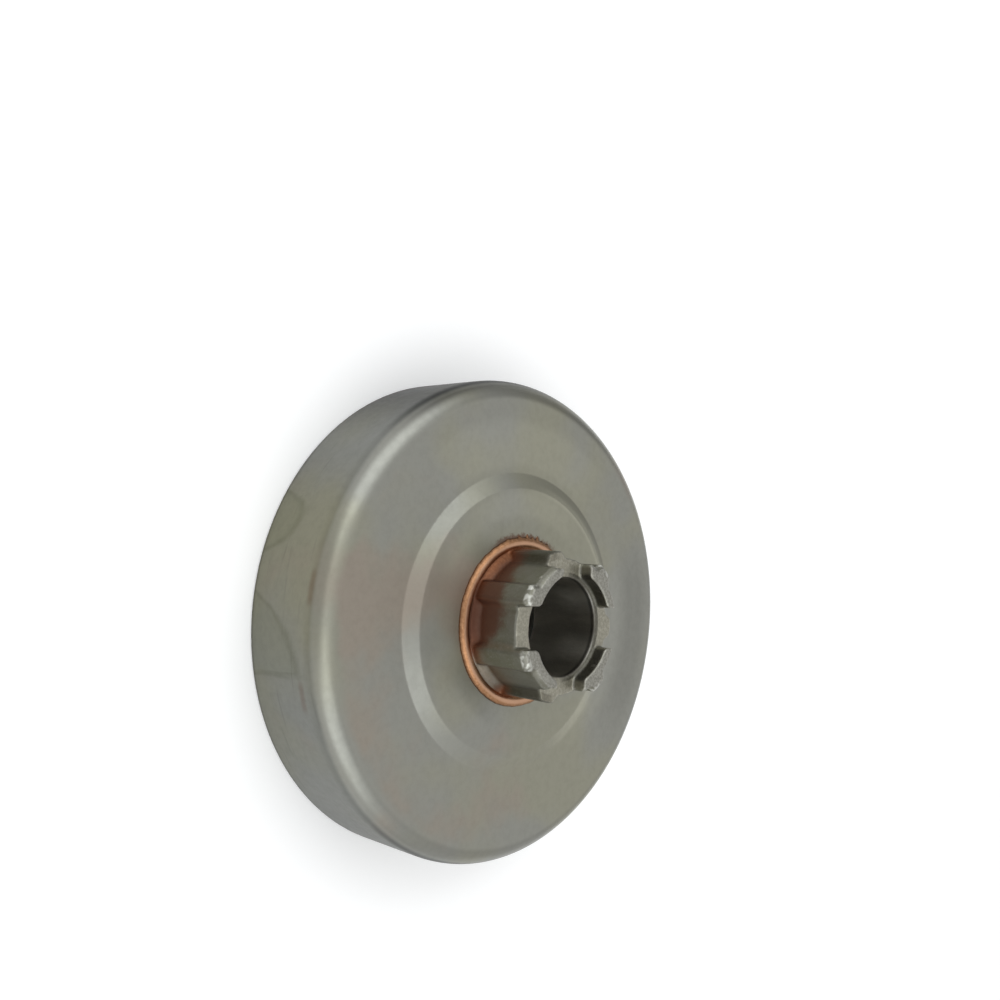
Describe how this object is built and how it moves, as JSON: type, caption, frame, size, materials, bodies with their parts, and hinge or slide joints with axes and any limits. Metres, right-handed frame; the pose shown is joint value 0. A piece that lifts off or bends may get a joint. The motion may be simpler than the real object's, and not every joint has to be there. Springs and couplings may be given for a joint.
{
  "type": "chainsaw clutch drum",
  "caption": "Round drawn steel clutch drum with a raised middle and a brazed-in splined hub, slotted at its end, that carries the chain sprocket and drives the oil pump.",
  "frame": {"origin": "centre of the plane of the open rim, on the shaft's axis", "axes": "+Z along the shaft's axis from the open rim towards the splined end; +Y through the spline that lines up with a drive slot"},
  "size_m": [0.071, 0.071, 0.0264],
  "materials": {
    "drawn_steel": "satin drawn sheet, lightly stained",
    "hub_steel": "grainy sintered steel with copper stains near the braze",
    "braze": "dull copper braze"
  },
  "bodies": {
    "root": {"drum_cup": "drawn_steel", "splined_hub": "hub_steel", "braze_ring": "braze"}
  },
  "joints": []
}
